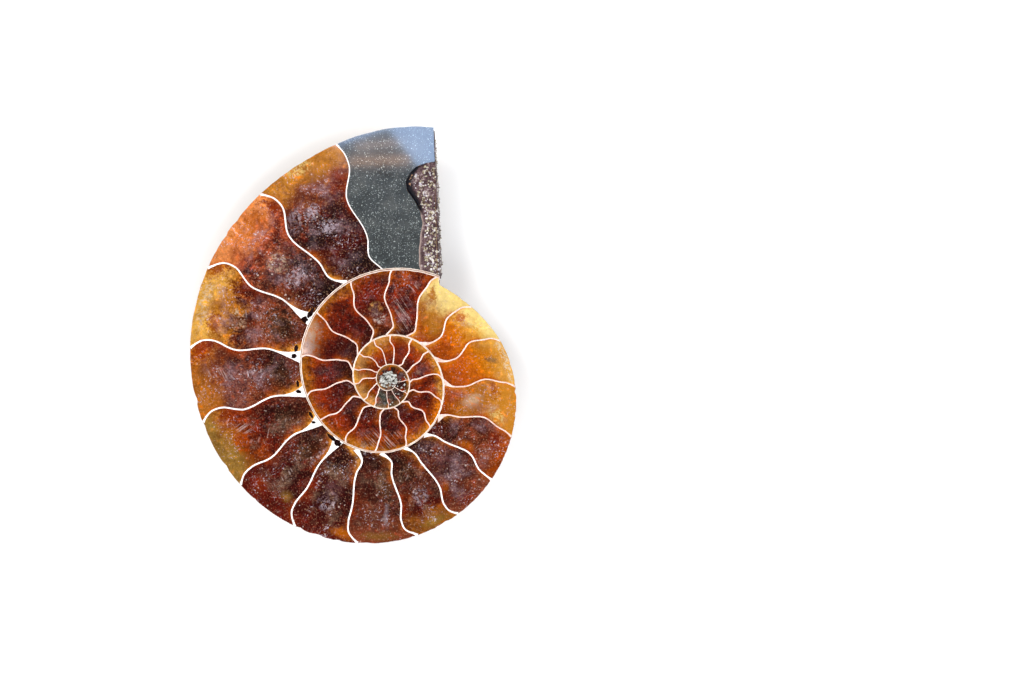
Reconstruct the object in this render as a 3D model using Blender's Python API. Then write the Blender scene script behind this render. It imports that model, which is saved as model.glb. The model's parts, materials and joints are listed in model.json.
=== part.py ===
"""Half of a coiled ammonite fossil, sawn along its plane of symmetry and polished.

One piece of stone. It lies on its domed back with the flat cut face upward.
Lengths in metres, angles in degrees where a name ends in _DEG, +Z up.
"""
import math

import bmesh
import bpy
import numpy as np
from mathutils import Matrix, Vector

# Outline of the shell in the cut plane: a spiral that tightens towards the middle.
# PHI is the turning angle back from the mouth, THETA the direction from the coil axis.
MOUTH_RADIUS = 0.03959
SHRINK_PER_RADIAN = 0.11206
SHRINK_GROWTH = 0.00155
MOUTH_THETA_DEG = 80.0
# Share by which the spiral swells once and twice a turn, with the direction of each swelling.
OVAL_ONE = (0.0307, 154.8)
OVAL_TWO = (0.0161, 102.0)
# Share by which it flares at the mouth, and over how many radians that fades.
MOUTH_FLARE = (0.0604, 0.479)
WORN_DEPTH = 0.0012
WORN_PHI_DEG = 330.0
WORN_SPREAD_DEG = 34.0

# The mouth is a straight break beside the coil axis, stepping down to the older whorl.
MOUTH_TOP = (0.00745, 0.0422)
MOUTH_FOOT = (0.0083, 0.0170)
BREAK_STEP_DEG = 1.6

# Section of a whorl: half thickness over radius, and where along the radius it is fattest.
HALF_THICKNESS = 0.262
INNER_SWELLING = 0.0055
CREST = 0.31
SEAM = 0.145
FLANK_POWER = 2.2
VENTER_POWER = 0.52
WALL_POWER = 2.4
CENTRE_THICKNESS = 0.0027
SEAM_FILLET = 0.0005
RIM_ROUNDING = 0.00022

# How the piece leans when it lies at rest on its back, as a turn about X and then about Y.
LEAN_X_DEG = 4.396
LEAN_Y_DEG = -4.995

# How finely the skin is laid. Sections crowd together where the break meets the outer edge.
COLUMNS = 112
VENTER_ROWS = 5
FLANK_ROWS = 12
UMBILICUS_ROWS = 11
WHORLS_ON_BACK = 2
BREAK_SHARES = (0, 0.09, 0.19, 0.3, 0.42, 0.54, 0.66, 0.77, 0.86, 0.93, 0.975, 1.0)
FIRST_COLUMN_GAP_DEG = 2.0
VENTER_ARC_DEG = 26.0
BREAK_DRAFT = 0.00001
# Near the mouth's foot the rows on the older whorl swing out to meet those of the last one.
SWING_START_DEG = 285.0
SWING_SPAN_DEG = 60.0
CREASE_DEG = 32.0


def outline_radius(phi):
    """Distance of the shell's outer edge from the coil axis after turning back by phi radians."""
    theta = math.radians(MOUTH_THETA_DEG) + phi
    log_radius = math.log(MOUTH_RADIUS) - SHRINK_PER_RADIAN * phi - SHRINK_GROWTH * phi**2
    log_radius += OVAL_ONE[0] * math.cos(theta - math.radians(OVAL_ONE[1]))
    log_radius += OVAL_TWO[0] * math.cos(2 * (theta - math.radians(OVAL_TWO[1])))
    log_radius += MOUTH_FLARE[0] * math.exp(-((phi / MOUTH_FLARE[1]) ** 2))
    return math.exp(log_radius)


def worn_radius(phi):
    """The outer edge as it is left after wear just behind the mouth."""
    away = (math.degrees(phi) - WORN_PHI_DEG) / WORN_SPREAD_DEG
    return outline_radius(phi) - WORN_DEPTH * math.exp(-(away**2))


def section_height(share):
    """Half thickness of a whorl, from 0 to 1, at a share of its outer radius."""
    if share >= 1.0:
        return 0.0
    if share >= CREST:
        along = (share - CREST) / (1.0 - CREST)
        return (1.0 - along**FLANK_POWER) ** VENTER_POWER
    down = (CREST - share) / (CREST - SEAM)
    return 1.0 - 0.5 * down**WALL_POWER


def back_depth(radius, phi):
    """Depth of the shell below the cut plane: whichever whorl stands out furthest."""
    depth = CENTRE_THICKNESS
    for turn in range(WHORLS_ON_BACK):
        angle = phi + 2 * math.pi * turn
        edge = outline_radius(angle) if turn else worn_radius(angle)
        thickness = (HALF_THICKNESS + INNER_SWELLING * angle) * edge
        height = thickness * section_height(radius / edge)
        gap = max(SEAM_FILLET - abs(height - depth), 0.0)
        depth = max(height, depth) + gap**2 / (4 * SEAM_FILLET)
    edge = worn_radius(phi)
    if radius > CREST * edge:
        outermost = (HALF_THICKNESS + INNER_SWELLING * phi) * edge * section_height(radius / edge)
        depth = min(depth, outermost)
    return depth


def break_point(theta):
    """Where a ray from the coil axis crosses the straight break of the mouth."""
    x0, y0 = MOUTH_FOOT
    x1, y1 = MOUTH_TOP
    ray = (math.cos(theta), math.sin(theta))
    cross = (x1 - x0) * ray[1] - (y1 - y0) * ray[0]
    return ((x1 - x0) * y0 - (y1 - y0) * x0) / cross


def column_angles():
    """Turning angles of the radial sections, closer together along the break."""
    foot = math.atan2(MOUTH_FOOT[1], MOUTH_FOOT[0])
    top = math.atan2(MOUTH_TOP[1], MOUTH_TOP[0])
    mouth = math.radians(MOUTH_THETA_DEG)
    broken = foot + (top - foot) * np.array(BREAK_SHARES) - mouth
    start = top - mouth + math.radians(FIRST_COLUMN_GAP_DEG)
    end = foot - mouth + 2 * math.pi - math.radians(BREAK_STEP_DEG)
    return list(broken), list(np.linspace(start, end, COLUMNS))


def crest_radius(phi, broken):
    """Distance from the coil axis to the row of points that follows the fattest part."""
    crest = CREST * outline_radius(phi)
    if broken:
        return crest
    foot_phi = math.atan2(MOUTH_FOOT[1], MOUTH_FOOT[0]) - math.radians(MOUTH_THETA_DEG)
    share = (math.degrees(phi) - SWING_START_DEG) / SWING_SPAN_DEG
    share = min(max(share, 0.0), 1.0)
    return crest + (CREST * outline_radius(foot_phi) - crest) * share**2 * (3 - 2 * share)


def broken_side(edge, phi):
    """Points straight down the break of the mouth, from the rim to the back."""
    foot = back_depth(edge - BREAK_DRAFT, phi)
    drop = max(foot, 3 * RIM_ROUNDING) - RIM_ROUNDING
    shares = np.linspace(0, 1, VENTER_ROWS + 1)[1:]
    return [(edge - BREAK_DRAFT * share, -RIM_ROUNDING - drop * share) for share in shares]


def round_side(edge, crest, phi):
    """Points round the outer edge of the shell, from the rim to the flank."""
    side = []
    for angle in np.radians(np.linspace(0, VENTER_ARC_DEG, VENTER_ROWS + 1)[1:]):
        radius = crest + (edge - crest) * math.cos(angle)
        side.append((radius, -max(back_depth(radius, phi), 1.6 * RIM_ROUNDING)))
    return side


def column(phi, broken):
    """One radial section: points from the cut face round the rim and along the back."""
    theta = math.radians(MOUTH_THETA_DEG) + phi
    edge = break_point(theta) if broken else worn_radius(phi)
    crest = crest_radius(phi, broken)
    points = [(edge - RIM_ROUNDING, 0.0), (edge, -RIM_ROUNDING)]
    points += broken_side(edge, phi) if broken else round_side(edge, crest, phi)
    start = points[-1][0]
    for share in np.linspace(1, 0, FLANK_ROWS + 1)[1:]:
        radius = crest + (start - crest) * share
        points.append((radius, -back_depth(radius, phi)))
    for share in np.linspace(1, 0, UMBILICUS_ROWS + 1)[1:-1]:
        points.append((crest * share, -back_depth(crest * share, phi)))
    return [(r * math.cos(theta), r * math.sin(theta), z) for r, z in points]


def settled(points):
    """Lean the piece as it rests, then put the middle of its underside box at the origin."""
    lean = Matrix.Rotation(math.radians(LEAN_Y_DEG), 3, "Y")
    lean = lean @ Matrix.Rotation(math.radians(LEAN_X_DEG), 3, "X")
    turned = np.array([lean @ Vector(point) for point in points])
    low = turned.min(axis=0)
    high = turned.max(axis=0)
    return turned - np.array([(low[0] + high[0]) / 2, (low[1] + high[1]) / 2, low[2]])


for stale in list(bpy.data.objects):
    bpy.data.objects.remove(stale, do_unlink=True)

fossil_collection = bpy.data.collections.new("ammonite_fossil")
bpy.context.scene.collection.children.link(fossil_collection)

# The whorls overlap and every radial section is a different shape, so the skin is a loft
# laid from section to section, closed by one flat cut face and a fan at the umbilicus.
broken_angles, whole_angles = column_angles()
columns = [column(phi, True) for phi in broken_angles]
columns += [column(phi, False) for phi in whole_angles]
rows = len(columns[0])
corners = [point for section in columns for point in section]
corners.append((0.0, 0.0, -back_depth(0.0, 0.0)))
placed = settled(corners)

skin = bmesh.new()
verts = [skin.verts.new(point) for point in placed]
count = len(columns)
for i in range(count):
    near = i * rows
    far = ((i + 1) % count) * rows
    for k in range(rows - 1):
        skin.faces.new([verts[near + k], verts[near + k + 1], verts[far + k + 1], verts[far + k]])
    skin.faces.new([verts[near + rows - 1], verts[-1], verts[far + rows - 1]])
cut_face = skin.faces.new([verts[i * rows] for i in range(count)])
bmesh.ops.triangulate(skin, faces=[cut_face])
bmesh.ops.recalc_face_normals(skin, faces=skin.faces)

mesh = bpy.data.meshes.new("ammonite_half")
skin.to_mesh(mesh)
skin.free()
fossil = bpy.data.objects.new("ammonite_half", mesh)
fossil_collection.objects.link(fossil)
bpy.context.view_layer.objects.active = fossil
fossil.select_set(True)
bpy.ops.object.shade_smooth_by_angle(angle=math.radians(CREASE_DEG))

stone = bpy.data.materials.new("ammonite_stone")
stone.use_nodes = True
shader = stone.node_tree.nodes["Principled BSDF"]
shader.inputs["Base Color"].default_value = (0.30, 0.11, 0.035, 1.0)
shader.inputs["Roughness"].default_value = 0.25
fossil.data.materials.append(stone)
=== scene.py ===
import json
import math
import random
from functools import partial

import bpy
import numpy as np
from mathutils import Matrix, Vector, noise


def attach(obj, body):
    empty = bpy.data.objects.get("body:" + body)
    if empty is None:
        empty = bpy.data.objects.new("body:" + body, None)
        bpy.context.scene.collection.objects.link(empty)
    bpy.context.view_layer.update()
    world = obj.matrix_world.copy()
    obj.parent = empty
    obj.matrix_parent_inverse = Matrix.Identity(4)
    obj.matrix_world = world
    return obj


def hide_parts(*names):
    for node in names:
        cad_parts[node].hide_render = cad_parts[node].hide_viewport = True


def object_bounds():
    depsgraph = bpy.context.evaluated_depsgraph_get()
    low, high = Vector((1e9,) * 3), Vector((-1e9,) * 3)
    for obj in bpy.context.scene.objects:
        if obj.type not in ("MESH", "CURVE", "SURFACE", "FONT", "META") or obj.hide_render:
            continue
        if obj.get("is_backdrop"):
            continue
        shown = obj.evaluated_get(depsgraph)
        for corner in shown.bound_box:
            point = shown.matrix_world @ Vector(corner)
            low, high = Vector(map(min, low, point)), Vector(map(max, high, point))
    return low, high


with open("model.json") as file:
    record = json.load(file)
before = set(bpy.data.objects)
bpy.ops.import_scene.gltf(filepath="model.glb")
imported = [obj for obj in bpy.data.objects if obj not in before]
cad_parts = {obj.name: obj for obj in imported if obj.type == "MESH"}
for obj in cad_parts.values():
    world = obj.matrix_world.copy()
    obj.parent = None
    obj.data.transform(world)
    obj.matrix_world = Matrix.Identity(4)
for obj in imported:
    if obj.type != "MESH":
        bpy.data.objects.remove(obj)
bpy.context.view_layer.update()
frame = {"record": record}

# ----------------------------------------
# Where it lies. The fossil rests on its back and leans a little, so everything seen on the
# cut face is laid out in that face's own plane, in millimetres from the coil axis, with X
# across, Y towards the mouth end and Z out of the stone, and then laid down in the frame.
MM = 0.001
cut_face = frame["record"]["mounts"][0]
normal = Vector(cut_face["axis"]).normalized()
lean = Matrix.Rotation(math.atan2(normal.x, normal.z), 4, "Y")
lean = lean @ Matrix.Rotation(-math.asin(normal.y), 4, "X")
on_face = Matrix.Translation(Vector(cut_face["pos_m"])) @ lean

# ----------------------------------------
# Table and light: a pale matt table, a soft bright room that is dim straight overhead, three
# large soft lamps at the sides, and small lamps high over the face that give the polished
# mud its blue and warm brown reflections.
VIEW_FROM_MM = (20.4, 6.55, 401.0)
TABLE_GREY = (0.93, 0.93, 0.93, 1.0)
camera_data = bpy.data.cameras.new("camera")
camera_data.lens = 85.0
camera_data.sensor_width = 36.0
camera = bpy.data.objects.new("camera", camera_data)
bpy.context.scene.collection.objects.link(camera)
camera.matrix_world = on_face @ Matrix.Translation(Vector(VIEW_FROM_MM) * MM)
bpy.context.scene.camera = camera
bpy.context.scene.view_settings.view_transform = "Standard"

bpy.ops.object.select_all(action="DESELECT")
bpy.ops.mesh.primitive_circle_add(vertices=96, radius=4.0, fill_type="NGON")
table = bpy.context.object
table.name = "table"
table_paint = bpy.data.materials.new("table_paint")
table_paint.use_nodes = True
table_shader = table_paint.node_tree.nodes["Principled BSDF"]
table_shader.inputs["Base Color"].default_value = TABLE_GREY
table_shader.inputs["Roughness"].default_value = 0.9
table_shader.inputs["Specular IOR Level"].default_value = 0.1
table.data.materials.append(table_paint)
table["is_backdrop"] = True


def soft_lamp(name, place_mm, size_mm, watts, colour, roll=None):
    """A rectangular lamp placed over the face: aimed at it, or level with it if rolled."""
    lamp_data = bpy.data.lights.new(name, "AREA")
    lamp_data.shape = "RECTANGLE"
    lamp_data.size = size_mm[0] * MM
    lamp_data.size_y = size_mm[1] * MM
    lamp_data.energy = watts
    lamp_data.color = colour
    lamp = bpy.data.objects.new(name, lamp_data)
    bpy.context.scene.collection.objects.link(lamp)
    away = Vector(place_mm) * MM
    if roll is None:
        turned = away.to_track_quat("Z", "Y").to_matrix().to_4x4()
    else:
        turned = Matrix.Rotation(math.radians(roll), 4, "Z")
    lamp.matrix_world = on_face @ Matrix.Translation(away) @ turned


BLUE_SKY = (0.42, 0.62, 1.0)
soft_lamp("lamp_left", (-397, 212, 780), (400, 400), 5.3, (1.0, 0.98, 0.95))
soft_lamp("lamp_right", (442, -83, 780), (400, 400), 4.4, (0.98, 0.99, 1.0))
soft_lamp("lamp_low", (-38, -448, 780), (400, 400), 2.5, (1.0, 1.0, 1.0))
soft_lamp("sky_window", (-19.5, 100.5, 700), (22, 30), 0.026, BLUE_SKY, 38.0)
soft_lamp("sky_strip", (-44, 105, 700), (38, 8), 0.012, BLUE_SKY, 18.5)
soft_lamp("haze", (-37, 97.5, 701), (46, 24), 0.0045, (0.9, 0.9, 1.0), 4.0)
soft_lamp("warm_strip", (-38, 96.5, 700), (26, 3.2), 0.0013, (1.0, 0.68, 0.55), 5.0)
soft_lamp("warm_sill", (-40, 89.0, 700), (28, 4.2), 0.0021, (1.0, 0.5, 0.22), 2.0)

room = bpy.data.worlds.new("room")
room.use_nodes = True
room_nodes = room.node_tree.nodes
way_up = room_nodes.new("ShaderNodeTexCoord")
split = room_nodes.new("ShaderNodeSeparateXYZ")
ceiling = room_nodes.new("ShaderNodeValToRGB")
walls_end, overhead = ceiling.color_ramp.elements
walls_end.position = 0.72
walls_end.color = (0.74, 0.75, 0.76, 1.0)
overhead.position = 0.9
overhead.color = (0.06, 0.06, 0.065, 1.0)
room.node_tree.links.new(way_up.outputs["Generated"], split.inputs[0])
room.node_tree.links.new(split.outputs["Z"], ceiling.inputs[0])
room.node_tree.links.new(ceiling.outputs[0], room_nodes["Background"].inputs["Color"])
bpy.context.scene.world = room

# ----------------------------------------
# The shell and the stone behind the cut face: one body with the natural outside of the
# ammonite, thin brown mother-of-pearl over stone, with low curved ribs, the seams of the
# chamber walls showing through, and the umbilicus. It grew as a spiral that tightens.

# Direction of the mouth from the coil axis in degrees, and the two ends of its break.
MOUTH_THETA = 80.0
MOUTH_TOP = (7.45, 42.2)
MOUTH_FOOT = (8.3, 17.0)
# The spiral at the mouth, its tightening, its two sways and its two bumps.
MOUTH_RADIUS = 39.59
TIGHTENING = (0.11206, 0.00155)
SWAYS = ((0.0307, 1, 154.8), (0.0161, 2, 102.0))
MOUTH_FLARE = 0.0604
FLARE_REACH = 0.479
PINCH = 0.034
# A whorl's fattest place and its hidden seam as shares of its radius, its half thickness,
# the stone plug of the umbilicus and the bed under the chambers, in millimetres.
CREST = 0.31
SEAM = 0.145
HALF_THICKNESS = 0.262
PLUG = 2.3
BED = 0.55
WORN_DEPTH = 1.2
WORN_TURN = 330.0
RIB_PITCH = 8.6
RIB_HEIGHT = 0.13


def turn_at(x, y):
    """Turning angle back from the mouth of a place on the face, in degrees."""
    return math.degrees(math.atan2(y, x)) - MOUTH_THETA


def past(value, start, reach):
    """How far a value is past a start, as a share of a reach kept to 0..1."""
    return min(max((value - start) / reach, 0.0), 1.0)


def spiral(turn):
    """Radius of the shell's outer edge, turned back from the mouth by so many degrees."""
    phi = math.radians(turn)
    theta = math.radians(MOUTH_THETA) + phi
    log_radius = math.log(MOUTH_RADIUS) - TIGHTENING[0] * phi - TIGHTENING[1] * phi**2
    for size, beat, peak in SWAYS:
        log_radius += size * math.cos(beat * (theta - math.radians(peak)))
    log_radius += MOUTH_FLARE * math.exp(-((phi / FLARE_REACH) ** 2))
    log_radius -= PINCH * math.exp(-(((turn - 480.0) / 45.0) ** 2))
    return math.exp(log_radius)


def rim(turn):
    """The outer edge as it is now: worn behind the mouth and nicked all the way round."""
    worn = WORN_DEPTH * math.exp(-(((turn - WORN_TURN) / 34.0) ** 2))
    at = Vector((math.cos(math.radians(turn)), math.sin(math.radians(turn)), turn / 200.0))
    ripple = 0.10 * noise.noise(at * 9.0) + 0.07 * noise.noise(at * 31.0)
    nick = max(0.0, noise.noise(at * 17.0 + Vector((5, 0, 0))) - 0.28)
    return spiral(turn) - worn - 0.14 - abs(ripple) - 0.55 * nick


def on_plane(turn, radius, z=0.0):
    """A point of the face from its turning angle and its distance from the coil axis."""
    theta = math.radians(MOUTH_THETA + turn)
    return Vector((radius * math.cos(theta), radius * math.sin(theta), z))


def whorl_section(share):
    """Half thickness of a whorl, 0 to 1, at a share of its outer radius."""
    if share >= 1.0:
        return 0.0
    if share >= CREST:
        return (1.0 - ((share - CREST) / (1.0 - CREST)) ** 2.2) ** 0.52
    return 1.0 - 0.5 * ((CREST - share) / (CREST - SEAM)) ** 2.4


def back_depth(radius, turn):
    """How deep the shell's back lies under the face, and which whorl shows there."""
    depth, whorl = PLUG, 3
    for k in range(3):
        angle = turn + 360.0 * k
        edge = spiral(angle) if k else rim(angle)
        fat = (HALF_THICKNESS + 0.0055 * math.radians(angle)) * edge
        height = fat * whorl_section(radius / edge)
        if k == 0 and radius > CREST * edge:
            return height, 0
        if height > depth:
            whorl = k
        gap = max(0.4 - abs(height - depth), 0.0)
        depth = max(height, depth) + gap * gap / 1.6
    return depth, whorl


def rib_relief(radius, turn, whorl):
    """Low S-shaped ribs that fade towards the umbilicus and the outer edge."""
    edge = spiral(turn + 360.0 * whorl)
    share = min(radius / edge, 1.0)
    if whorl > 1:
        return 0.0
    bend = 9.0 * math.sin((share - 0.3) * 4.6) - 16.0 * max(share - 0.72, 0.0)
    wave = 0.5 + 0.5 * math.cos(2 * math.pi * (turn + bend) / RIB_PITCH)
    fade = past(share, 0.24, 0.25) * past(1.0 - share, 0.0, 0.1)
    return RIB_HEIGHT * (wave**1.6 - 1.0) * fade * min(edge / 30.0, 1.2) - 0.03


def mouth_ray(turn):
    """Distance along a ray from the coil axis to the straight break of the mouth."""
    ray = on_plane(turn, 1.0)
    (x0, y0), (x1, y1) = MOUTH_FOOT, MOUTH_TOP
    return ((x1 - x0) * y0 - (y1 - y0) * x0) / ((x1 - x0) * ray.y - (y1 - y0) * ray.x)


def bent_grid(name, across, along, place, facing=(0.0, 0.0, 1.0)):
    """A grid added as a primitive, its corners then moved to place(u, v), both 0 to 1."""
    bpy.ops.object.select_all(action="DESELECT")
    bpy.ops.mesh.primitive_grid_add(x_subdivisions=across, y_subdivisions=along, size=1.0)
    piece = bpy.context.object
    piece.name = name
    piece.data.name = name
    for corner in piece.data.vertices:
        corner.co = place(corner.co.x + 0.5, corner.co.y + 0.5)
    if sum(face.normal.dot(Vector(facing)) * face.area for face in piece.data.polygons) < 0.0:
        piece.data.flip_normals()
    return piece


def take_up(piece):
    """Selects one piece alone and makes it active."""
    bpy.ops.object.select_all(action="DESELECT")
    piece.select_set(True)
    bpy.context.view_layer.objects.active = piece


def open_up(piece):
    """Takes up one piece in edit mode, with all of it selected."""
    take_up(piece)
    bpy.ops.object.mode_set(mode="EDIT")
    bpy.ops.mesh.select_all(action="SELECT")


def apply_modifier(piece, kind, **settings):
    """Adds one modifier with its settings and applies it."""
    take_up(piece)
    modifier = piece.modifiers.new(kind.lower(), kind)
    for setting, value in settings.items():
        setattr(modifier, setting, value)
    bpy.ops.object.modifier_apply(modifier=modifier.name)


def mend_normals(piece):
    """Merges doubled corners and turns every face outwards."""
    open_up(piece)
    bpy.ops.mesh.remove_doubles(threshold=0.0005)
    bpy.ops.mesh.normals_make_consistent(inside=False)
    bpy.ops.object.mode_set(mode="OBJECT")


def thicken(piece, depth):
    """Gives a sheet on the face its depth by extruding it straight down, then closes it."""
    open_up(piece)
    bpy.ops.mesh.extrude_region_move(TRANSFORM_OT_translate={"value": (0.0, 0.0, -depth)})
    bpy.ops.object.mode_set(mode="OBJECT")
    mend_normals(piece)


def lay_down(piece, material=None, crease=35.0, sink=0.06):
    level = Matrix.Translation((0.0, 0.0, -sink * MM))
    piece.data.transform(on_face @ level @ Matrix.Diagonal((MM, MM, MM, 1.0)))
    take_up(piece)
    bpy.ops.object.shade_smooth_by_angle(angle=math.radians(crease))
    if material:
        piece.data.materials.append(material)
    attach(piece, "root")


class Stain:
    """A value of a material that takes part in sums: every operator adds its Math node."""

    def __init__(self, tree, socket=None):
        self.tree = tree
        self.socket = socket

    def node(self, kind, settings=None, inputs=None, output=0):
        """Adds a node, its settings first and its inputs after, and returns an output."""
        made = self.tree.nodes.new(kind)
        for key, value in (settings or {}).items():
            if key == "stops":
                self.fill_ramp(made.color_ramp, value)
            else:
                setattr(made, key, value)
        for key, value in (inputs or {}).items():
            if isinstance(value, Stain):
                self.tree.links.new(value.socket, made.inputs[key])
            else:
                made.inputs[key].default_value = value
        return Stain(self.tree, made.outputs[output])

    def fill_ramp(self, ramp, stops):
        """Sets a ramp's stops, each a position and a colour."""
        while len(ramp.elements) > 1:
            ramp.elements.remove(ramp.elements[-1])
        ramp.elements[0].position, ramp.elements[0].color = stops[0]
        for position, colour in stops[1:]:
            ramp.elements.new(position).color = colour

    def maths(self, operation, *values):
        return self.node("ShaderNodeMath", {"operation": operation}, dict(enumerate(values)))

    def __add__(self, other):
        return self.maths("ADD", self, other)

    def __radd__(self, other):
        return self.maths("ADD", other, self)

    def __sub__(self, other):
        return self.maths("SUBTRACT", self, other)

    def __rsub__(self, other):
        return self.maths("SUBTRACT", other, self)

    def __mul__(self, other):
        return self.maths("MULTIPLY", self, other)

    def __rmul__(self, other):
        return self.maths("MULTIPLY", other, self)

    def __truediv__(self, other):
        return self.maths("DIVIDE", self, other)

    def __rtruediv__(self, other):
        return self.maths("DIVIDE", other, self)

    def band(self, low, high, bottom=0.0, top=1.0):
        """This value spread smoothly from low..high onto bottom..top."""
        limits = {"From Min": low, "From Max": high, "To Min": bottom, "To Max": top}
        smooth = {"interpolation_type": "SMOOTHSTEP"}
        return self.node("ShaderNodeMapRange", smooth, {"Value": self, **limits})

    def fade(self, reach):
        """exp(-value / reach), for a tint that dies away from an edge."""
        return self.maths("EXPONENT", self * (-1.0 / reach))

    def ramp(self, *stops):
        """This value as a colour ramp."""
        return self.node("ShaderNodeValToRGB", {"stops": stops}, {0: self})

    def washed(self, tint, amount, way="MIX"):
        """This colour with a tint laid over it by an amount."""
        settings = {"data_type": "RGBA", "blend_type": way, "clamp_result": True}
        return self.node("ShaderNodeMix", settings, {0: amount, 6: self, 7: tint}, 2)

    def bumped(self, strength):
        """This value as relief of the surface, a fifth of a millimetre deep."""
        relief = {"Strength": strength, "Distance": 0.2 * MM, "Height": self}
        return self.node("ShaderNodeBump", {}, relief)

    def carried(self, name):
        """The vector that the piece's own mesh carries under a name."""
        return self.node("ShaderNodeAttribute", {"attribute_name": name}, output="Vector")

    def part(self, axis):
        """One part of a position."""
        return self.node("ShaderNodeSeparateXYZ", {}, {0: self}, axis)

    def shifted(self, amount, way="ADD"):
        """This position moved, or scaled, by a vector."""
        return self.node("ShaderNodeVectorMath", {"operation": way}, {0: self, 1: amount})

    def drawn_out(self, angle, length, width):
        """This position stretched along one direction, for streaks of that size."""
        turned = {"Rotation": (0.0, 0.0, math.radians(angle)), "Scale": (length, width, 1.0)}
        settings = {"vector_type": "TEXTURE"}
        return self.node("ShaderNodeMapping", settings, {"Vector": self, **turned})

    def from_spot(self, x, y, wide, tall):
        """Distance of this position from a spot, in shares of the spot's own reach."""
        off = self.shifted((-x, -y, 0.0)).shifted((1.0 / wide, 1.0 / tall, 0.0), "MULTIPLY")
        return self.node("ShaderNodeVectorMath", {"operation": "LENGTH"}, {0: off}, "Value")

    def clouds(self, scale, detail=4.0, roughness=0.55, distortion=0.0):
        """Fractal noise over this position, about 0.5 on average."""
        grade = {"Detail": detail, "Roughness": roughness, "Distortion": distortion}
        return self.node("ShaderNodeTexNoise", {}, {"Vector": self, "Scale": scale, **grade})

    def cells(self, scale):
        """Distance of this position from the nearest of many scattered points."""
        return self.node("ShaderNodeTexVoronoi", {}, {"Vector": self, "Scale": scale}, "Distance")


# Screen colours are taken down to the level of the light, which leaves the table white.
LIGHT_LEVEL = 0.7
PER_METRE = (1000.0, 1000.0, 1000.0)


def srgb(red, green, blue):
    """A colour as it looks on screen, 0 to 255, as the linear value a shader takes."""
    linear = [LIGHT_LEVEL * (c / 255.0) ** 2.2 for c in (red, green, blue)]
    return (*linear, 1.0)


def new_paint(name, shift=0.0):
    """A new material and its positions in millimetres, moved to vary its pattern."""
    material = bpy.data.materials.new(name)
    material.use_nodes = True
    own = Stain(material.node_tree).node("ShaderNodeTexCoord", output="Object")
    return material, own.shifted(PER_METRE, "MULTIPLY").shifted((shift, shift * 0.7, 0.0))


def finish(material, **sockets):
    """Sets or joins a material's Principled sockets, spaces in names as underscores."""
    shader = material.node_tree.nodes["Principled BSDF"]
    for name, value in sockets.items():
        socket = shader.inputs[name.replace("_", " ")]
        if isinstance(value, Stain):
            material.node_tree.links.new(value.socket, socket)
        else:
            socket.default_value = value
    return material


# Septum angles at six heights between the inner wall (0) and the outer edge (1), in
# degrees of turn. They bow and sway alike, and lean more and more on the older whorls.
HEIGHTS = (1.0, 0.8, 0.6, 0.25, 0.1, 0.0)
SEPTA = [
    (22.5, 20.5, 23, 18.5, 18.5, 13), (44.5, 41.5, 44.5, 40.5, 39.5, 34),
    (68, 63.5, 65.5, 62.5, 64, 65), (90.5, 87, 88.5, 85, 86.5, 88),
    (112.5, 109, 111, 107.5, 109, 110.5), (135, 132, 133, 129.5, 131.5, 133),
    (157, 152.5, 152.5, 150, 151.5, 153), (179, 174, 173.5, 170.5, 171, 165.5),
    (200.5, 195, 195.5, 191.5, 191, 184.5), (217.5, 214, 215.5, 211.5, 209, 204),
    (236, 235.5, 238, 232.5, 229.5, 224.5), (255.5, 257, 259, 252.5, 249.5, 245),
    (277.5, 279.5, 281, 275.5, 276, 282), (300, 303.5, 305.5, 298.5, 300.5, 308),
    (322, 326, 327, 320.5, 323.5, 331.5), (345, 348, 350, 345, 343, 349),
    (368.5, 370, 373, 367.5, 366.5, 374), (391, 392, 395, 389, 388, 395.5),
    (416.5, 416.5, 418.5, 413, 412.5, 420.5), (444.5, 442, 442.5, 436.5, 435.5, 444),
    (470.5, 467, 467, 461, 460, 466), (489.5, 489.5, 491.5, 486, 484, 490.5),
    (515, 512, 513.5, 508.5, 507, 513.5), (538.5, 540, 541, 536.5, 536, 540.5),
    (564.5, 566, 570, 565, 566, 560), (591.5, 593, 598, 591.5, 592, 581),
    (617.5, 621, 624.5, 619.5, 619, 611), (642.5, 648.5, 648.5, 644, 642.5, 635.5),
    (676.5, 677.5, 673.5, 671.5, 667.5, 665), (701.5, 701.5, 696, 694, 692, 697),
    (728.5, 728.5, 722.5, 718.5, 717.5, 716.5), (750.5, 750.5, 744, 740.5, 740, 739),
    (777.5, 776, 769.5, 764.5, 765.5, 760), (801, 800.5, 795.5, 788, 786.5, 781.5),
    (825.5, 824, 816, 811, 809, 804), (856.5, 856.5, 850, 841, 835, 830),
    (880.5, 879, 873.5, 866.5, 860, 855),
]
for turn in (906, 934, 962, 1000, 1040, 1082, 1128, 1180, 1240):
    SEPTA.append((turn + 2, turn + 3, turn, turn - 5, turn - 7, turn - 8))

# Columns of the body, each a turning angle and whether it ends in the break of the mouth.
BREAK_COLUMNS = 30
RIM_COLUMNS = 430
BACK_ROWS = 118
SIDE_ROWS = 18
INNER_ROWS = 44
foot_turn = turn_at(*MOUTH_FOOT)
columns = []
for share in np.sin(np.linspace(0, math.pi / 2, BREAK_COLUMNS)):
    columns.append((foot_turn * (1.0 - share) - 0.3 * share, True))
for turn in np.linspace(0.6, 360.0 + foot_turn - 0.9, RIM_COLUMNS):
    columns.append((turn, False))
columns.append(columns[0])


def swung_crest(turn, broken):
    """Radius of the row that follows the fattest part, evened out towards the break."""
    crest = CREST * spiral(turn)
    share = 0.0 if broken else past(turn, 285.0, 58.0)
    return crest + (CREST * spiral(foot_turn) - crest) * share**2 * (3 - 2 * share)


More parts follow.
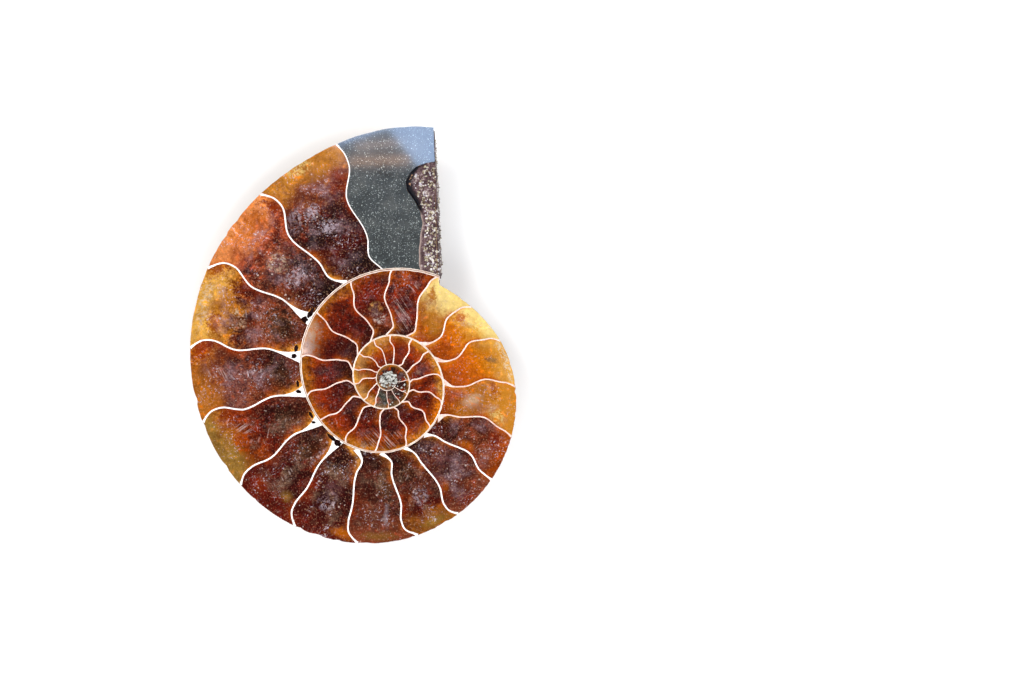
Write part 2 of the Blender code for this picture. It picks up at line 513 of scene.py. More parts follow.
def back_column(turn, broken):
    """One radial section of the body from its bed under the face, round to the umbilicus."""
    edge = mouth_ray(turn) - 0.45 if broken else rim(turn)
    crest = swung_crest(turn, broken)
    points = [(edge - 0.5, -BED, 0), (edge - 0.03, -BED + 0.42, 0)]
    if broken:
        foot = max(back_depth(edge - 0.01, turn)[0], 0.4)
        for share in np.linspace(0, 1, SIDE_ROWS + 1)[1:]:
            points.append((edge - 0.01 * share, -0.15 - (foot - 0.15) * share, 0))
    else:
        for angle in np.radians(np.linspace(0, 30, SIDE_ROWS + 1)[1:]):
            radius = crest + (edge - crest) * math.cos(angle)
            depth, whorl = back_depth(radius, turn)
            points.append((radius, -max(depth, 0.3), whorl))
    start = points[-1][0]
    flank_rows = BACK_ROWS - SIDE_ROWS - INNER_ROWS - 1
    radii = [crest + (start - crest) * (1 - k / flank_rows) for k in range(1, flank_rows + 1)]
    radii += [crest * (1 - k / INNER_ROWS) for k in range(1, INNER_ROWS + 1)]
    for radius in radii:
        depth, whorl = back_depth(radius, turn)
        points.append((radius, -depth - rib_relief(radius, turn, whorl), whorl))
    return points


sections = [back_column(turn, broken) for turn, broken in columns]


def back_place(u, v):
    """The body's corner at one column and one row."""
    column = round(u * (len(columns) - 1))
    radius, z, _ = sections[column][round(v * BACK_ROWS)]
    return on_plane(columns[column][0], radius, z)


shell = bent_grid("shell_and_stone", len(columns) - 1, BACK_ROWS, back_place)
growth = shell.data.attributes.new("growth", "FLOAT_VECTOR", "POINT")
rim_turns = [septum[1] for septum in SEPTA]
for index, corner in enumerate(growth.data):
    row, column = divmod(index, len(columns))
    radius, _, whorl = sections[column][row]
    turn = columns[column][0] + 360.0 * whorl
    chamber = float(np.interp(turn, rim_turns, range(len(rim_turns))))
    corner.vector = (turn / 10.0, min(radius / spiral(turn), 1.0), chamber)
mend_normals(shell)
bpy.ops.object.mode_set(mode="EDIT")
bpy.ops.mesh.select_all(action="DESELECT")
bpy.ops.mesh.select_mode(type="EDGE")
bpy.ops.mesh.select_non_manifold(extend=False)
bpy.ops.mesh.edge_face_add()
bpy.ops.mesh.select_all(action="SELECT")
bpy.ops.mesh.normals_make_consistent(inside=False)
bpy.ops.object.mode_set(mode="OBJECT")

# Mother-of-pearl on the outside, inked along frilled sutures and flaked off to brown stone.
mother_of_pearl, at = new_paint("brown_mother_of_pearl")
grown = at.carried("growth")
share = grown.part("Y")
soft = at.clouds(0.16, 6.0, 0.6)
fine = at.clouds(1.4, 8.0, 0.65)
frill = at.shifted((0.9, 0.9, 0.9), "MULTIPLY").clouds(0.8, 9.0, 0.78)
lobes = at.maths("SINE", share * 34.0) * 0.16 + (frill - 0.5) * 0.85
line = at.maths("ABSOLUTE", at.maths("FRACT", grown.part("Z") + lobes + 0.5) - 0.5)
suture = line.band(0.012, 0.05, 1.0, 0.0) * share.band(0.3, 0.4)
pearl = (soft * 0.65 + fine * 0.35).ramp(
    (0.25, srgb(92, 52, 34)),
    (0.42, srgb(150, 98, 62)),
    (0.55, srgb(186, 146, 104)),
    (0.7, srgb(205, 180, 146)),
    (0.85, srgb(176, 150, 128)),
)
flaked = at.clouds(0.11, 9.0, 0.72, 0.4).band(0.52, 0.56)
stone = fine.ramp((0.3, srgb(58, 26, 18)), (0.5, srgb(110, 54, 28)), (0.75, srgb(158, 92, 44)))
colour = pearl.washed(stone, flaked).washed(srgb(60, 36, 26), suture * (0.35 + flaked * 0.45))
grit = at.clouds(4.0, 4.0, 0.6)
finish(
    mother_of_pearl,
    Base_Color=colour,
    Roughness=0.34 + fine * 0.25 + flaked * 0.08,
    Normal=(fine * 0.6 + grit * 0.25 - flaked * 0.8 - suture * 0.5).bumped(0.35),
    Coat_Weight=0.25,
    Coat_Roughness=0.18,
)
lay_down(shell, mother_of_pearl, 50.0, 0.0)
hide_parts("ammonite_half")

# ----------------------------------------
# The chamber fillings: clear to cloudy calcite that grew in the closed chambers, stained
# from straw yellow to near black by iron, ground flat and polished to a wet gloss. Each
# chamber is its own casting between two septa, the spiral wall below and the one above.
TINTS = {
    "straw": srgb(252, 222, 140), "salmon": srgb(240, 150, 88), "clay": srgb(190, 94, 64),
    "honey": srgb(234, 176, 84), "gold": srgb(206, 136, 56), "amber": srgb(214, 114, 18),
    "orange": srgb(192, 88, 14), "ochre": srgb(178, 108, 44), "copper": srgb(160, 72, 20),
    "rust": srgb(140, 48, 12), "russet": srgb(120, 34, 10), "wine": srgb(98, 26, 12),
    "oxblood": srgb(74, 20, 14), "soot": srgb(50, 17, 16), "umber": srgb(132, 68, 46),
    "cocoa": srgb(96, 46, 34), "tan": srgb(196, 142, 82), "olive": srgb(150, 94, 40),
    "rose": srgb(208, 168, 134), "cream": srgb(232, 212, 180), "pearl": srgb(246, 228, 226),
    "chalk": srgb(255, 252, 244), "milk": srgb(186, 176, 190), "mauve": srgb(134, 94, 96),
    "khaki": srgb(158, 120, 58), "bark": srgb(84, 58, 38), "moss": srgb(74, 84, 76),
    "pitch": srgb(34, 24, 22),
}
# Five tints from the outer edge down to the inner wall, then how cloudy the chamber is.
TINT_HEIGHTS = (0.06, 0.27, 0.5, 0.74, 0.95)
CHAMBERS = [
    ("gold umber oxblood oxblood soot", 0.6), ("salmon clay umber cocoa soot", 0.7),
    ("honey gold umber umber cocoa", 0.6), ("ochre umber umber cocoa cocoa", 0.5),
    ("khaki copper russet cocoa cocoa", 0.4), ("wine oxblood wine cocoa soot", 0.5),
    ("wine oxblood oxblood cocoa soot", 0.7), ("umber cocoa cocoa cocoa soot", 0.5),
    ("olive wine cocoa cocoa oxblood", 0.5), ("umber cocoa cocoa cocoa soot", 0.6),
    ("copper umber umber cocoa oxblood", 0.6), ("gold gold ochre ochre copper", 0.5),
    ("honey gold amber orange copper", 0.25), ("straw honey amber orange copper", 0.25),
    ("straw straw gold ochre copper", 0.25), ("copper rust russet russet oxblood", 0.4),
    ("rust russet russet umber soot", 0.3), ("ochre rust wine wine oxblood", 0.1),
    ("copper copper wine oxblood soot", 0.1), ("ochre rust russet oxblood soot", 0.1),
    ("copper rust wine oxblood soot", 0.1), ("copper rust wine oxblood soot", 0.1),
    ("ochre copper russet oxblood soot", 0.25), ("copper copper wine oxblood soot", 0.15),
    ("ochre copper wine oxblood soot", 0.1), ("amber copper russet wine soot", 0.1),
    ("gold copper rust rust wine", 0.2), ("gold copper wine russet oxblood", 0.2),
    ("gold copper rust wine oxblood", 0.1), ("tan copper rust rust russet", 0.1),
    ("tan ochre copper rust russet", 0.1), ("tan gold copper rust russet", 0.1),
    ("tan tan olive copper russet", 0.1), ("honey tan olive copper rust", 0.1),
    ("tan tan olive copper rust", 0.1), ("tan tan olive rust oxblood", 0.1),
    ("moss moss moss moss pitch", 0.2), ("moss moss moss pitch pitch", 0.2),
    ("pitch pitch pitch pitch moss", 0.3), ("pitch pitch soot pitch pitch", 0.3),
    ("cocoa pitch pitch soot soot", 0.3), ("bark pitch pitch bark bark", 0.2),
    ("bark bark pitch bark pitch", 0.2), ("bark pitch bark pitch moss", 0.2),
    ("moss moss pitch moss moss", 0.2),
]
# Accents of single chambers, counted from the mouth: where across and up the chamber, how
# far they reach across and up as shares of it, the tint and its strength.
ACCENTS = {
    1: [
        (0.5, 0.97, 0.12, 0.05, "straw", 0.8), (0.25, 0.9, 0.3, 0.08, "gold", 0.7),
        (0.12, 0.72, 0.2, 0.12, "rust", 0.8), (0.6, 0.45, 0.3, 0.16, "soot", 0.9),
        (0.88, 0.64, 0.12, 0.07, "milk", 0.8), (0.42, 0.45, 0.12, 0.05, "milk", 0.95),
        (0.55, 0.62, 0.09, 0.05, "milk", 0.8), (0.75, 0.25, 0.2, 0.1, "russet", 0.8),
    ],
    2: [
        (0.4, 0.88, 0.3, 0.09, "amber", 0.5), (0.08, 0.84, 0.1, 0.12, "rust", 0.95),
        (0.2, 0.66, 0.12, 0.08, "wine", 0.8), (0.85, 0.62, 0.1, 0.12, "oxblood", 0.8),
        (0.2, 0.3, 0.2, 0.14, "soot", 0.9), (0.5, 0.5, 0.25, 0.09, "mauve", 0.7),
        (0.45, 0.5, 0.14, 0.08, "cream", 0.5), (0.5, 0.32, 0.2, 0.07, "milk", 0.7),
        (0.7, 0.15, 0.25, 0.1, "oxblood", 0.8),
    ],
    3: [
        (0.06, 0.92, 0.12, 0.09, "copper", 0.9), (0.5, 0.93, 0.25, 0.04, "cream", 0.6),
        (0.78, 0.8, 0.15, 0.08, "copper", 0.8), (0.1, 0.62, 0.2, 0.14, "russet", 0.9),
        (0.55, 0.6, 0.13, 0.06, "cream", 0.85), (0.42, 0.48, 0.05, 0.07, "mauve", 0.9),
        (0.85, 0.6, 0.12, 0.08, "wine", 0.8), (0.5, 0.22, 0.35, 0.14, "bark", 0.9),
    ],
    4: [
        (0.1, 0.9, 0.2, 0.12, "rust", 0.9), (0.5, 0.6, 0.3, 0.12, "mauve", 0.45),
        (0.2, 0.35, 0.2, 0.14, "oxblood", 0.8), (0.5, 0.2, 0.3, 0.12, "bark", 0.8),
        (0.42, 0.42, 0.04, 0.08, "milk", 0.5),
    ],
    5: [
        (0.75, 0.9, 0.25, 0.12, "khaki", 0.9), (0.15, 0.7, 0.15, 0.15, "rust", 0.85),
        (0.3, 0.35, 0.25, 0.14, "oxblood", 0.7), (0.55, 0.25, 0.25, 0.14, "bark", 0.8),
    ],
    6: [
        (0.3, 0.85, 0.15, 0.08, "rust", 0.7), (0.8, 0.78, 0.1, 0.06, "khaki", 0.6),
        (0.4, 0.5, 0.35, 0.12, "oxblood", 0.7), (0.55, 0.3, 0.25, 0.12, "bark", 0.8),
        (0.82, 0.26, 0.06, 0.1, "milk", 0.9),
    ],
    7: [
        (0.12, 0.6, 0.12, 0.16, "russet", 0.9), (0.85, 0.92, 0.16, 0.06, "amber", 0.8),
        (0.55, 0.5, 0.2, 0.1, "mauve", 0.8), (0.5, 0.62, 0.16, 0.09, "milk", 0.8),
        (0.45, 0.2, 0.35, 0.14, "soot", 0.9),
    ],
    8: [
        (0.5, 0.93, 0.3, 0.05, "khaki", 0.5), (0.3, 0.55, 0.2, 0.15, "umber", 0.6),
        (0.75, 0.35, 0.2, 0.2, "bark", 0.8), (0.7, 0.7, 0.05, 0.12, "milk", 0.4),
    ],
    9: [
        (0.6, 0.93, 0.3, 0.05, "khaki", 0.8), (0.2, 0.6, 0.12, 0.1, "copper", 0.6),
        (0.5, 0.6, 0.16, 0.08, "milk", 0.6), (0.4, 0.25, 0.3, 0.15, "bark", 0.7),
    ],
    10: [
        (0.12, 0.6, 0.1, 0.1, "amber", 0.8), (0.5, 0.4, 0.2, 0.1, "mauve", 0.7),
        (0.4, 0.12, 0.35, 0.12, "soot", 0.8), (0.4, 0.9, 0.2, 0.08, "wine", 0.7),
    ],
    11: [
        (0.15, 0.5, 0.12, 0.12, "amber", 0.6), (0.7, 0.8, 0.2, 0.1, "russet", 0.8),
        (0.8, 0.2, 0.2, 0.1, "oxblood", 0.8),
    ],
    12: [
        (0.75, 0.2, 0.2, 0.1, "copper", 0.8), (0.5, 0.4, 0.2, 0.12, "cream", 0.45),
        (0.8, 0.7, 0.2, 0.08, "copper", 0.7), (0.2, 0.75, 0.15, 0.1, "straw", 0.6),
    ],
    13: [
        (0.5, 0.75, 0.08, 0.08, "moss", 0.5), (0.5, 0.95, 0.4, 0.04, "cream", 0.8),
        (0.75, 0.2, 0.2, 0.15, "orange", 0.8),
    ],
    14: [
        (0.8, 0.75, 0.15, 0.1, "orange", 0.8), (0.45, 0.85, 0.2, 0.08, "straw", 0.7),
        (0.5, 0.2, 0.3, 0.14, "copper", 0.7),
    ],
    15: [
        (0.75, 0.75, 0.15, 0.1, "ochre", 0.9), (0.75, 0.4, 0.2, 0.1, "ochre", 0.8),
        (0.3, 0.85, 0.25, 0.12, "straw", 0.9), (0.8, 0.2, 0.15, 0.1, "copper", 0.7),
        (0.35, 0.4, 0.2, 0.15, "gold", 0.9),
    ],
    16: [(0.6, 0.3, 0.2, 0.12, "mauve", 0.7), (0.85, 0.75, 0.12, 0.15, "oxblood", 0.8)],
    17: [
        (0.52, 0.3, 0.2, 0.09, "chalk", 1.0), (0.38, 0.46, 0.22, 0.08, "straw", 0.75),
        (0.5, 0.35, 0.25, 0.15, "umber", 0.5),
    ],
    19: [(0.75, 0.98, 0.6, 0.26, "rose", 1.0), (0.95, 1.0, 0.45, 0.2, "pearl", 0.95)],
    23: [(0.6, 0.9, 0.1, 0.08, "rose", 0.7)],
    27: [(0.4, 0.93, 0.2, 0.08, "straw", 0.5)],
    28: [(0.4, 0.35, 0.12, 0.06, "rose", 0.8)],
}
# Small accents in these tints have a crisp broken edge; the rest run out softly.
CRISP_TINTS = ("milk", "chalk", "cream", "straw")
# Bundles of scratches: where, how far they reach and which way they run, in degrees.
RUBS = {
    3: [(0.42, 0.5, 0.08, 0.12, -84)],
    4: [(0.42, 0.45, 0.08, 0.12, -84), (0.45, 0.75, 0.1, 0.12, -62)],
    5: [(0.6, 0.45, 0.06, 0.3, 80), (0.35, 0.65, 0.1, 0.1, 35)],
    6: [(0.5, 0.6, 0.05, 0.25, -62), (0.85, 0.28, 0.08, 0.14, -55)],
    9: [(0.4, 0.4, 0.1, 0.2, 62)],
    16: [(0.5, 0.35, 0.35, 0.4, -56), (0.3, 0.7, 0.15, 0.1, -50)],
    15: [(0.4, 0.75, 0.06, 0.2, -62)],
    23: [(0.7, 0.7, 0.4, 0.25, -48)],
    24: [(0.4, 0.75, 0.5, 0.2, -48)],
}
# White calcite that bedded against the foot of a septum on its mouth side: septum number,
# how far it spreads along the wall in millimetres and how high up the chamber it climbs.
WHITE_FEET = {
    2: (0.5, 0.08), 3: (2.6, 0.26), 4: (2.3, 0.24), 5: (2.3, 0.22), 6: (2.3, 0.22), 7: (2.2, 0.26),
    8: (0.7, 0.15), 9: (0.5, 0.1), 10: (0.4, 0.1), 11: (0.6, 0.1), 12: (1.1, 0.13), 13: (1.0, 0.16),
    14: (0.8, 0.18), 15: (0.9, 0.16),
}
NO_FOOT = (0.0, 1.0)
# The clearest chambers, how many septa stand in the last whorl, the turns between which its
# rim gives way to the spiral wall, and the hook of each septum just under the rim.
CLEAR_CHAMBERS = (11, 12, 13, 14, 18, *range(28, 36))
OUTER_SEPTA = 16
STEP_START = 342.6
STEP_END = 344.4
HOOK = 0.24
HOOK_HEIGHT = 0.9
# A filling's grid and its depth in the stone.
TILE_ROWS = 60
TILE_COLUMNS = 24
LAYER = 0.75


def septum_turn(number, height):
    """Turning angle of a septum at a height, as a smooth curve through its six angles."""
    turns = list(SEPTA[number])
    turns.insert(1, turns[1] + (turns[0] - turns[1]) * HOOK)
    heights = np.array((1.0, HOOK_HEIGHT, *HEIGHTS[1:]))[::-1]
    turns = np.array(turns, float)[::-1]
    slopes = np.gradient(turns, heights)
    k = int(np.clip(np.searchsorted(heights, height) - 1, 0, len(heights) - 2))
    span = heights[k + 1] - heights[k]
    s = (height - heights[k]) / span
    near, far = 1 + 2 * s, 3 - 2 * s
    low = turns[k] * near * (1 - s) ** 2 + slopes[k] * span * s * (1 - s) ** 2
    high = turns[k + 1] * s**2 * far + slopes[k + 1] * span * s**2 * (s - 1)
    return float(low + high)


def outer_edge(turn):
    """Outer limit of the chambers: the worn rim on the last whorl, else the spiral wall."""
    share = past(turn, STEP_START, STEP_END - STEP_START)
    if share in (0.0, 1.0):
        return spiral(turn) if share else rim(turn) - 0.02
    return (rim(turn) - 0.02) * (1 - share) + spiral(turn) * share


def chamber_point(turn, height):
    """A point of the face at a turning angle and a height across its whorl."""
    low, high = spiral(turn + 360.0), outer_edge(turn)
    return on_plane(turn, low + (high - low) * height)


def white_foot(number, height):
    """How far the white bed reaches from a septum at a height, in millimetres."""
    spread, climb = WHITE_FEET.get(number + 1, NO_FOOT)
    return spread * max(0.0, 1 - height / climb) ** 1.8


def filling(name, number, left, right):
    """One chamber's casting between two borders, each a function of height."""
    lefts = [left(k / TILE_ROWS) for k in range(TILE_ROWS + 1)]
    rights = [right(k / TILE_ROWS) for k in range(TILE_ROWS + 1)]

    def place(u, v):
        k = round(v * TILE_ROWS)
        return chamber_point(lefts[k] + (rights[k] - lefts[k]) * u, v)

    tile = bent_grid(name, TILE_COLUMNS, TILE_ROWS, place)
    reach = tile.data.attributes.new("reach", "FLOAT_VECTOR", "POINT")
    for index, corner in enumerate(reach.data):
        k, column = divmod(index, TILE_COLUMNS + 1)
        u, v = column / TILE_COLUMNS, k / TILE_ROWS
        middle = (lefts[k] + rights[k]) / 2
        low, high = spiral(middle + 360.0), outer_edge(middle)
        span = math.radians(rights[k] - lefts[k]) * (low + (high - low) * v)
        wall = (v if number < OUTER_SEPTA - 1 else min(v, 1 - v)) * (high - low)
        corner.vector = (span * u, max(span * (1 - u) - white_foot(number, v), 0.0), wall)
    thicken(tile, LAYER)
    return tile


def calcite(number):
    """Polished calcite: five tints by height, mottled, clouded, flecked and scratched."""
    tints, cloudiness = CHAMBERS[number]
    on_outer = number < OUTER_SEPTA
    depth = 1.0
    if number in CLEAR_CHAMBERS:
        depth = 0.3 if on_outer else 0.65
    material, at = new_paint(f"calcite_{number + 1:02d}", number * 13.0)
    own_map = at.node("ShaderNodeTexCoord", output="UV")
    side = own_map.part("X")
    high = own_map.part("Y")
    reach = at.carried("reach")
    to_mouth = reach.part("X")
    to_older = reach.part("Y")
    drift = at.node("ShaderNodeTexNoise", {}, {"Vector": at, "Scale": 0.3, "Detail": 3.0}, "Color")
    swirled = at.shifted(drift.shifted((-0.5, -0.5, -0.5)).shifted((2.2, 2.2, 2.2), "MULTIPLY"))

    # The tints run together in soft layers, with wide darker depths and fine mottling.
    mottle = swirled.clouds(1.2, 6.0, 0.6)
    grain = at.clouds(3.6, 3.0, 0.65)
    level = high + (at.clouds(0.24, 3.0, 0.5) - 0.5) * 0.5 + (mottle - 0.5) * 0.22
    colour = level.ramp(*zip(TINT_HEIGHTS, [TINTS[tint] for tint in reversed(tints.split())]))
    crisp = swirled.clouds(1.9, 4.0, 0.7).band(0.47, 0.54)
    for x, y, wide, tall, tint, strength in ACCENTS.get(number + 1, ()):
        far = own_map.from_spot(x, y, wide, tall)
        if tint in CRISP_TINTS and tall < 0.11:
            blot = far.band(1.5, 0.8, 0.0, strength) * crisp
        else:
            ragged = far + (mottle - 0.5) * 2.4 + (grain - 0.5) * 1.6
            blot = ragged.band(1.35, 0.3, 0.0, strength)
        colour = colour.washed(TINTS[tint], blot)
    thin = high.band(0.6, 0.85, 1.0, 0.45 if number < OUTER_SEPTA - 1 else 1.0)
    deep = swirled.clouds(0.3, 4.0, 0.5).band(0.6, 0.35, 0.0, 0.95 * depth) * thin
    colour = colour.washed((0.3, 0.17, 0.16, 1.0), deep, "MULTIPLY")
    dark = mottle.band(0.54, 0.34, 0.0, 0.8 * depth) * thin
    colour = colour.washed((0.46, 0.36, 0.34, 1.0), dark, "MULTIPLY")
    colour = colour.washed((1.0, 0.5, 0.25, 1.0), mottle.band(0.52, 0.72, 0.0, 0.45), "DODGE")

    # Where a septum dips under the clear stone its white shows through as an ember glow:
    # on the older side low down and near the rim, on the mouth side at mid height.
    ragged = at.clouds(0.8, 4.0, 0.6).band(0.32, 0.66, 0.25, 1.5)
    glow = 1.0 if number < 6 else 0.6 if number < 28 else 0.1
    low = high.band(0.5, 0.3)
    older_glow = low * glow + high.band(0.72, 0.8) * high.band(1.0, 0.93) * 0.8
    mouth_glow = high.band(0.4, 0.52) * high.band(0.82, 0.7) * 0.9 + 0.08
    ember = (to_older / (0.3 + low * 0.45)).fade(1.0) * older_glow + to_mouth.fade(0.4) * mouth_glow
    colour = colour.washed(srgb(206, 76, 12), ember * ragged * (0.8 - 0.2 * cloudiness))
    foot = high.band(0.4, 0.06) * (glow if on_outer else glow * 0.3) + older_glow * 0.15
    colour = colour.washed(srgb(244, 172, 80), to_older.fade(0.42) * ragged * foot)
    if not on_outer:
        edge = reach.part("Z").fade(0.4) * high.band(0.6, 0.8) * ragged * 0.55
        colour = colour.washed(srgb(232, 152, 62), edge)

    # Milky clouds, frost, dust of pale specks and the fine scratches of the polishing.
    cloud = swirled.clouds(0.36, 3.0, 0.55).band(0.46, 0.7)
    wisp = swirled.clouds(2.2, 6.0, 0.7).band(0.42, 0.72, 0.35, 1.3)
    middle = side.band(0.0, 0.35) * side.band(1.0, 0.65)
    cloud = cloud * wisp * high.band(0.0, 0.25) * high.band(1.0, 0.75) * (0.25 + middle)
    smoke = srgb(148, 118, 98) if 3 < number < 9 else srgb(164, 134, 142)
    colour = colour.washed(smoke, cloud * cloudiness)
    frost = swirled.clouds(2.6, 3.0, 0.75).band(0.57, 0.66)
    frost = frost * at.clouds(0.3, 2.0, 0.5).band(0.47, 0.57) * middle
    colour = colour.washed(srgb(226, 214, 228), frost * (0.1 + cloudiness * 1.2))
    dust = 0.0 * grain
    for scale, rare in ((1.1, 0.6), (1.9, 0.59), (3.4, 0.6)):
        pick = at.clouds(scale * 0.5, 2.0, 0.5).band(rare, rare + 0.06)
        dust = dust + at.cells(scale).band(0.24, 0.1) * pick
    colour = colour.washed(srgb(250, 226, 216), dust * (0.16 + cloudiness * 0.65))
    rubbed = at.drawn_out(28 + 37 * (number % 5), 8.0, 0.45)
    lines = at.maths("ABSOLUTE", rubbed.clouds(1.0, 1.0, 0.4) - 0.5).band(0.012, 0.0)
    lines = lines * at.clouds(0.35, 2.0).band(0.57, 0.66)
    for x, y, wide, tall, angle in RUBS.get(number + 1, ()):
        streaks = at.drawn_out(angle, 6.0, 0.22).clouds(1.0, 3.0, 0.6).band(0.52, 0.66)
        lines = lines + streaks * own_map.from_spot(x, y, wide, tall).band(1.2, 0.4) * 1.6
    colour = colour.washed(srgb(210, 184, 178), lines * 0.35)
    pits = grain.band(0.54, 0.32, 0.0, 0.35 + 0.45 * depth) * thin
    colour = colour.washed((0.38, 0.3, 0.28, 1.0), pits, "MULTIPLY")
    dusty = grain.band(0.54, 0.74, 0.0, 0.12 + cloudiness * 0.36)
    colour = colour.washed(srgb(240, 190, 150), dusty)
    # Painted shadow: a thin dark line beside the septum on the chamber's mouth side, fading out near
    # the rim.
    septum_shadow = to_mouth.fade(0.34) * high.band(0.95, 0.8) * (0.55 if on_outer else 0.25)
    colour = colour.washed((0.28, 0.2, 0.3, 1.0), septum_shadow, "MULTIPLY")
    wet = {"Saturation": 1.03, "Value": 0.95, "Color": colour}
    return finish(
        material,
        Base_Color=at.node("ShaderNodeHueSaturation", {}, wet),
        Roughness=0.1 + grain * 0.12 + lines * 0.2,
        Coat_Weight=1.0,
        Coat_Roughness=0.03,
        Specular_IOR_Level=0.15,
    )


tiles = []
for number in range(len(CHAMBERS)):
    left, right = partial(septum_turn, number), partial(septum_turn, number + 1)
    tiles.append(filling(f"calcite_{number + 1:02d}", number, left, right))

# ----------------------------------------
# The septa: thin white walls of shell that closed each chamber, S-shaped where the cut
# crosses them, broader at the rim and the foot, where white calcite bedded against them.

# Where the middle, inner and innermost septa end, and half the thickness of each whorl's.
MIDDLE_SEPTA = 30
ALL_SEPTA = 41
SEPTUM_HALVES = ((OUTER_SEPTA, 0.12), (MIDDLE_SEPTA, 0.1), (37, 0.08), (ALL_SEPTA, 0.05))
SEPTUM_ROWS = 84
AMBER_SEPTA = range(11, 16)


def septum_half(number):
    """Half a septum's thickness: finer on older whorls, by the mud and in the amber."""
    share = 0.68 if number == 0 else 0.8 if number in AMBER_SEPTA else 0.92
    return share * next(half for end, half in SEPTUM_HALVES if number < end)


def septum_ribbon(number):
    """One septum as a low strip that follows its curve from the inner wall to the rim."""
    half = septum_half(number)
    heights = [k / SEPTUM_ROWS for k in range(SEPTUM_ROWS + 1)]
    line = [chamber_point(septum_turn(number, height), height) for height in heights]

    def place(u, v):
        k = round(v * SEPTUM_ROWS)
        ahead = line[min(k + 1, SEPTUM_ROWS)] - line[max(k - 1, 0)]
        flare = 0.35 * half * math.exp(-v / 0.02) + 1.2 * half * math.exp(-(1 - v) / 0.02)
        wobble = 0.22 * half * noise.noise(line[k] * 1.3)
        mouthward = half + flare + wobble + white_foot(number, v)
        older = half + flare - wobble + 0.25 * half
        across = -mouthward + (mouthward + older) * u
        point = line[k] + Vector((-ahead.y, ahead.x, 0.0)).normalized() * across
        turn = turn_at(point.x, point.y)
        turn += 360.0 * round((septum_turn(number, v) - turn) / 360.0)
        radius = min(max(point.length, spiral(turn + 360.0)), outer_edge(turn) - 0.01)
        return on_plane(turn, radius, 0.014 + 0.02 * (1 - (2 * u - 1) ** 2))

    ribbon = bent_grid(f"septum_{number + 1:02d}", 8, SEPTUM_ROWS, place)
    thicken(ribbon, LAYER)
    return ribbon


def chalk(name, light, blush, seed):
    """White shell wall: cream with a rosy stain, tiny pores and a soft polish."""
    material, at = new_paint(name, seed)
    pores = at.clouds(5.0, 3.0, 0.6)
    colour = at.clouds(1.1, 6.0, 0.65).ramp((0.35, (*blush, 1.0)), (0.58, (*light, 1.0)))
    colour = colour.washed(srgb(214, 186, 168), pores.band(0.5, 0.3, 0.0, 0.6), "MULTIPLY")
    rough = 0.2 + pores * 0.2
    return finish(material, Base_Color=colour, Roughness=rough, Coat_Weight=0.8, Coat_Roughness=0.05)


ribbons = [septum_ribbon(number) for number in range(ALL_SEPTA)]
white_wall = chalk("white_septum", (0.9, 0.89, 0.9), (0.8, 0.7, 0.66), 3.0)
rosy_wall = chalk("rosy_septum", (0.76, 0.58, 0.52), (0.6, 0.38, 0.32), 8.0)
for number, tile in enumerate(tiles):
    tile.data.materials.append(calcite(number))
for number, ribbon in enumerate(ribbons):
    ribbon.data.materials.append(white_wall if number < AMBER_SEPTA[0] else rosy_wall)

# Small hollows were left in the white beds. They are cut as real pits lined with near-black
# to dark red-brown crystal: X and Y on the face, half length, half width in millimetres, tilt.
HOLLOWS = [
    (-13.0, 11.3, 1.0, 0.38, 60), (-14.0, 10.2, 0.62, 0.5, 20), (-15.4, 5.4, 0.62, 0.33, 78),
    (-15.75, 4.15, 0.45, 0.38, 30), (-15.15, -0.45, 0.62, 0.25, 97), (-15.0, -1.75, 0.45, 0.3, -15),
    (-12.95, -5.6, 0.62, 0.25, 118), (-12.5, -6.85, 0.36, 0.21, 0), (-9.5, -9.4, 1.0, 0.3, -42),
    (-8.5, -10.3, 0.62, 0.5, -30),
]
HOLLOW_HALF_DEPTH = 0.42
dark_druse, at = new_paint("dark_druse")
spots = at.clouds(2.2, 6.0, 0.7)
colour = spots.ramp((0.35, srgb(18, 6, 7)), (0.6, srgb(52, 14, 12)), (0.8, srgb(110, 46, 30)))
finish(dark_druse, Base_Color=colour, Roughness=0.35 + spots * 0.3, Specular_IOR_Level=0.12)
for x, y, half_long, half_wide, tilt in HOLLOWS:
    bpy.ops.object.select_all(action="DESELECT")
    bpy.ops.mesh.primitive_ico_sphere_add(subdivisions=4, radius=1.0)
    cutter = bpy.context.object
    cutter.data.materials.append(dark_druse)
    for corner in cutter.data.vertices:
        swell = 1.0 + 0.34 * noise.noise(corner.co * 1.7 + Vector((x, y, 0)))
        corner.co = corner.co * Vector((half_long, half_wide, HOLLOW_HALF_DEPTH)) * swell
    turned = Matrix.Rotation(math.radians(tilt), 4, "Z")
    cutter.data.transform(Matrix.Translation((x, y, 0.05)) @ turned)
    turn = turn_at(x, y) % 360.0
    nearest = min(range(OUTER_SEPTA), key=lambda k: abs(septum_turn(k, 0.03) - turn - 1.5))
    cut = {"operation": "DIFFERENCE", "solver": "EXACT", "material_mode": "TRANSFER"}
    for piece in (ribbons[nearest], tiles[nearest - 1], tiles[nearest]):
        apply_modifier(piece, "BOOLEAN", object=cutter, **cut)
    bpy.data.objects.remove(cutter, do_unlink=True)


def joined(pieces, name):
    """Several meshes as one piece."""
    bpy.ops.object.select_all(action="DESELECT")
    for piece in pieces:
        piece.select_set(True)
    bpy.context.view_layer.objects.active = pieces[0]
    bpy.ops.object.join()
    pieces[0].name = name
    pieces[0].data.name = name
    return pieces[0]


for tile in tiles:
    lay_down(tile)
lay_down(joined(ribbons[:OUTER_SEPTA], "septa_outer_whorl"))
lay_down(joined(ribbons[OUTER_SEPTA:MIDDLE_SEPTA], "septa_middle_whorl"))
lay_down(joined(ribbons[MIDDLE_SEPTA:], "septa_inner_whorl"))

# ----------------------------------------
# The spiral wall between the whorls: the shell of the older whorl, which the next one grew
# over. It is two pale layers with a brown line between them, and lightly beaded outside.
WALL_START = 343.6
WALL_END = 1330.0
WALL_ROWS = 1500
